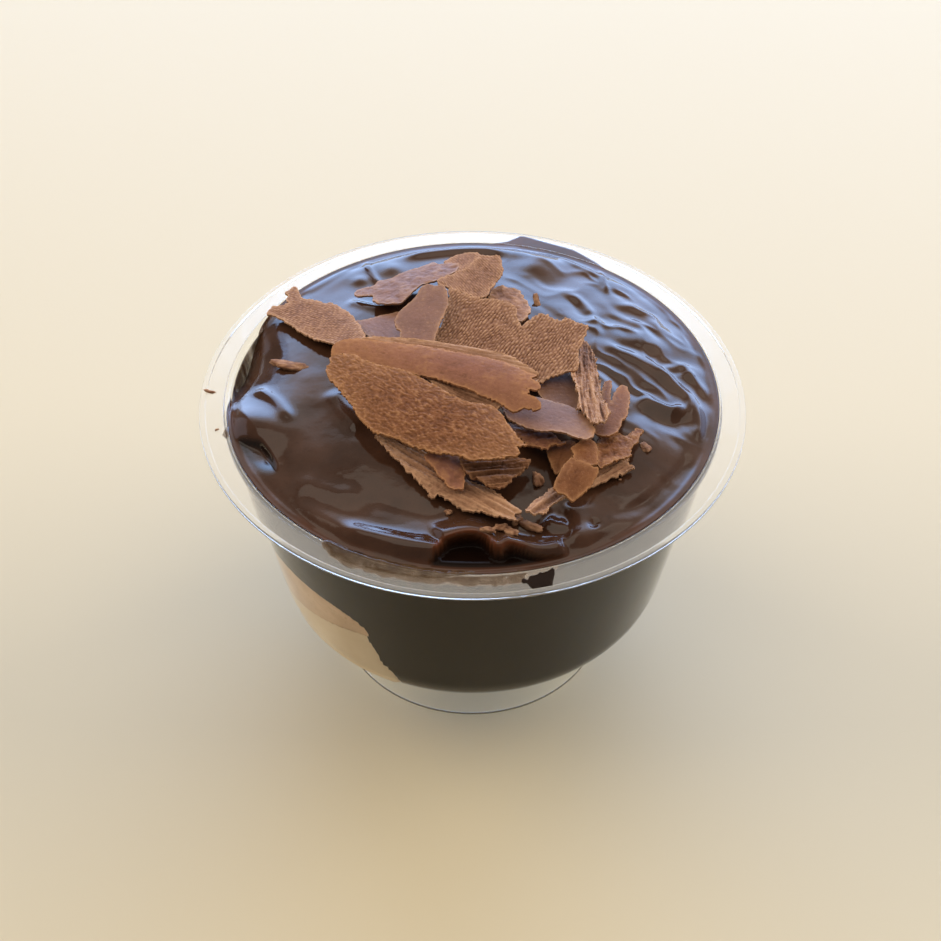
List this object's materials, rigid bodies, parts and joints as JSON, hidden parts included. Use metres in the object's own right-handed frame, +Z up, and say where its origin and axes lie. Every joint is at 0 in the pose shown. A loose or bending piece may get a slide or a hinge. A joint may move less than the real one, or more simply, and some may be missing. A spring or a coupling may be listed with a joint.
{
  "type": "profiteroles in a dessert cup",
  "caption": "Clear footed dessert cup of choux in vanilla cream under a mound of glossy dark chocolate sauce, topped with a loose heap of milk chocolate shavings.",
  "frame": {"origin": "centre of the foot's underside, on the surface that the cup stands on", "axes": "+Z up along the cup's axis, -Y towards the side that faces the viewer, +X to the viewer's right"},
  "size_m": [0.096, 0.096, 0.0706],
  "materials": {
    "clear_plastic": "clear, polished moulding",
    "cream": "soft satin cream",
    "choux": "baked, matt",
    "sauce": "wet gloss",
    "milk_chocolate": "satin on one side, rough grain on the other"
  },
  "bodies": {
    "root": {"cup": "clear_plastic", "vanilla_cream": "cream", "choux_bun": "choux", "chocolate_sauce": "sauce", "shaving_back_fold": "milk_chocolate", "shaving_under_front": "milk_chocolate", "shaving_right_strip": "milk_chocolate", "shaving_right_grainy": "milk_chocolate", "shaving_front_chip": "milk_chocolate", "shaving_hollow_back": "milk_chocolate", "shaving_right_small": "milk_chocolate", "shaving_right_upright": "milk_chocolate", "shaving_left": "milk_chocolate", "shaving_left_inner": "milk_chocolate", "shaving_back_left": "milk_chocolate", "shaving_back": "milk_chocolate", "shaving_back_right": "milk_chocolate", "shaving_right_edge": "milk_chocolate", "shaving_hollow_left": "milk_chocolate", "shaving_middle_right": "milk_chocolate", "shaving_right_smooth": "milk_chocolate", "shaving_centre": "milk_chocolate", "shaving_centre_left": "milk_chocolate", "shaving_middle_ragged": "milk_chocolate", "shaving_right_long": "milk_chocolate", "shaving_front_drop": "milk_chocolate", "shaving_ridge": "milk_chocolate", "shaving_front": "milk_chocolate"}
  },
  "joints": []
}
